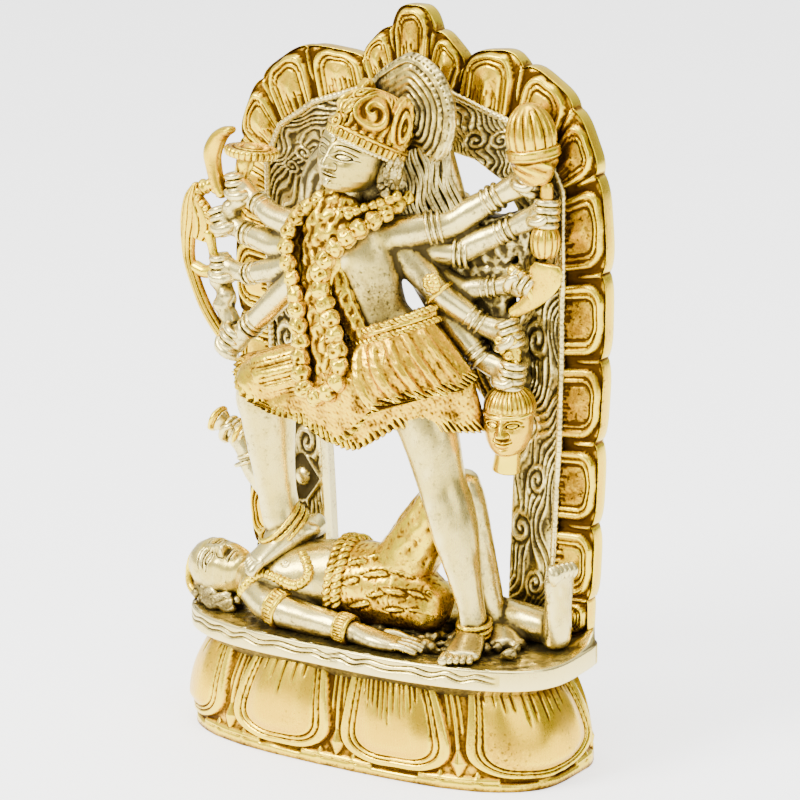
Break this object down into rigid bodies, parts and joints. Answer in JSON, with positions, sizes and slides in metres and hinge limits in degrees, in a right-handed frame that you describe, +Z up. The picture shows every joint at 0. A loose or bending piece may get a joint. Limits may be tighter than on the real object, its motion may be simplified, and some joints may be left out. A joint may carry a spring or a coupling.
{
  "type": "kali figure",
  "caption": "Cast brass Kali with raised arms, garland and pleated skirt, stepping over the lying Shiva, on a lotus base in front of an arch of lotus petals.",
  "frame": {"origin": "centre of the flat underside of the base", "axes": "+Z up through the tip of the arch, the figure looks along -Y, its own left side is +X"},
  "size_m": [0.1765, 0.0693, 0.28],
  "materials": {
    "gold_brass": "polished yellow brass, dark brown in the recesses",
    "silver_brass": "silver-coloured plating over brass, olive-black in the recesses"
  },
  "bodies": {
    "root": {"lotus_base": "gold_brass", "lotus_arch": "gold_brass", "kali_and_shiva": "silver_brass"}
  },
  "joints": []
}
